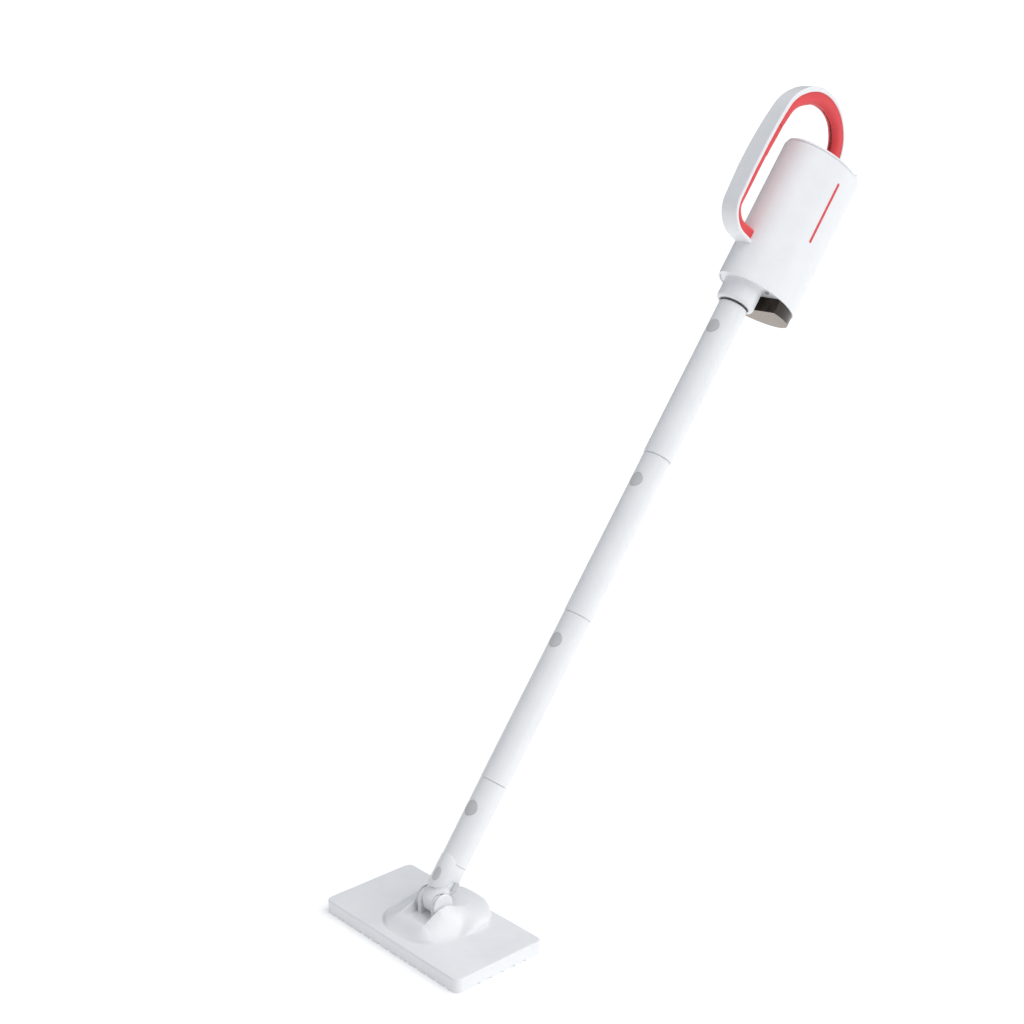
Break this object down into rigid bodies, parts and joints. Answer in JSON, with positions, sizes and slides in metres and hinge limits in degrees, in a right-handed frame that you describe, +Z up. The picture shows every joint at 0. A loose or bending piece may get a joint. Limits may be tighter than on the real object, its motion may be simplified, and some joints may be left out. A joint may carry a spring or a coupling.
{
  "type": "steam mop",
  "caption": "Upright steam mop: a flat steam head on a two-way hinged neck, a plug-together pole, and a hand unit with a loop handle and a pull-out water tank.",
  "frame": {"origin": "middle of the head's sole, on the floor", "axes": "+X along the head, +Y the side the pole leans to, +Z up"},
  "size_m": [0.26, 0.8506, 1.0109],
  "materials": {
    "white": "smooth satin white ABS",
    "tube_white": "smooth satin white tube",
    "red": "satin red soft-touch",
    "red_trim": "glossy red inlay",
    "grey": "satin mid grey",
    "dark": "dark grey moulding",
    "smoke": "smoked clear tank wall",
    "steel": "drawn steel",
    "alloy": "die-cast",
    "brass": "turned",
    "seal": "moulded rubber",
    "silicone": "silicone hose",
    "hooks": "dark hook fastener",
    "board": "circuit board"
  },
  "bodies": {
    "head": {"head_cover": "white", "hinge_ears": "white", "dome_cover": "white", "sole_plate": "white", "hook_pads": "hooks", "steam_manifold": "dark", "manifold_gasket": "seal", "head_screws": "steel", "pivot_pin": "steel", "pin_caps": "white"},
    "knuckle": {"knuckle": "white", "swing_pin": "steel"},
    "pole": {"swing_cap": "grey", "neck_yoke": "white", "neck_tube": "tube_white", "lower_tube": "tube_white", "middle_tube": "tube_white", "upper_tube": "tube_white", "lower_coupler": "tube_white", "middle_coupler": "tube_white", "upper_coupler": "tube_white", "steam_pipe": "silicone", "pipe_spacers": "dark", "pipe_seals": "seal", "button_springs": "steel", "collar": "white", "body_shell": "white", "bottom_plate": "white", "top_cap": "white", "rear_hatch": "white", "handle_shell": "white", "handle_grip": "red", "trigger_pin": "steel", "micro_switch": "dark", "tank_seal": "seal", "tank_dock": "dark", "boiler": "alloy", "steam_union": "brass", "pump": "dark", "water_hose": "silicone", "circuit_board": "board", "thermostat": "steel", "cord_gland": "seal", "side_stripes": "red_trim", "heater_ends": "steel", "pump_mounts": "seal", "case_screws": "steel"},
    "trigger": {"trigger": "red"},
    "tank": {"tank": "smoke"},
    "tank_valve": {"tank_valve": "dark"},
    "lock_slider": {"lock_slider": "dark"},
    "button_1": {"tube_button_1": "grey"},
    "button_2": {"tube_button_2": "grey"},
    "button_3": {"tube_button_3": "grey"},
    "button_4": {"tube_button_4": "grey"}
  },
  "joints": [
    {"name": "pitch", "type": "hinge", "parent": "head", "child": "knuckle", "pos_m": [0, 0.004, 0.04], "axis": [1, 0, 0], "range_deg": [-25, 38]},
    {"name": "swing", "type": "hinge", "parent": "knuckle", "child": "pole", "pos_m": [0, 0.02309, 0.06443], "axis": [0, 0.788, -0.6157], "range_deg": [-35, 35]},
    {"name": "button_1_press", "type": "slide", "parent": "pole", "child": "button_1", "axis": [0, 0.788, -0.6157], "range_m": [0, 0.003], "stiffness_N_per_m": 800},
    {"name": "button_2_press", "type": "slide", "parent": "pole", "child": "button_2", "axis": [0, 0.788, -0.6157], "range_m": [0, 0.003], "stiffness_N_per_m": 800},
    {"name": "button_3_press", "type": "slide", "parent": "pole", "child": "button_3", "axis": [0, 0.788, -0.6157], "range_m": [0, 0.003], "stiffness_N_per_m": 800},
    {"name": "button_4_press", "type": "slide", "parent": "pole", "child": "button_4", "axis": [0, 0.788, -0.6157], "range_m": [0, 0.003], "stiffness_N_per_m": 800},
    {"name": "trigger_pull", "type": "hinge", "parent": "pole", "child": "trigger", "pos_m": [0, 0.61957, 0.95118], "axis": [-1, 0, 0], "range_deg": [0, 4.5], "stiffness_Nm_per_rad": 3},
    {"name": "tank_pull", "type": "slide", "parent": "pole", "child": "tank", "axis": [0, -0.6157, -0.788], "range_m": [0, 0.11]},
    {"name": "tank_valve_press", "type": "slide", "parent": "tank", "child": "tank_valve", "axis": [0, -0.6157, -0.788], "range_m": [0, 0.0025], "stiffness_N_per_m": 400},
    {"name": "lock_slide", "type": "slide", "parent": "pole", "child": "lock_slider", "axis": [0, 0.8558, -0.5174], "range_m": [0, 0.006]}
  ]
}
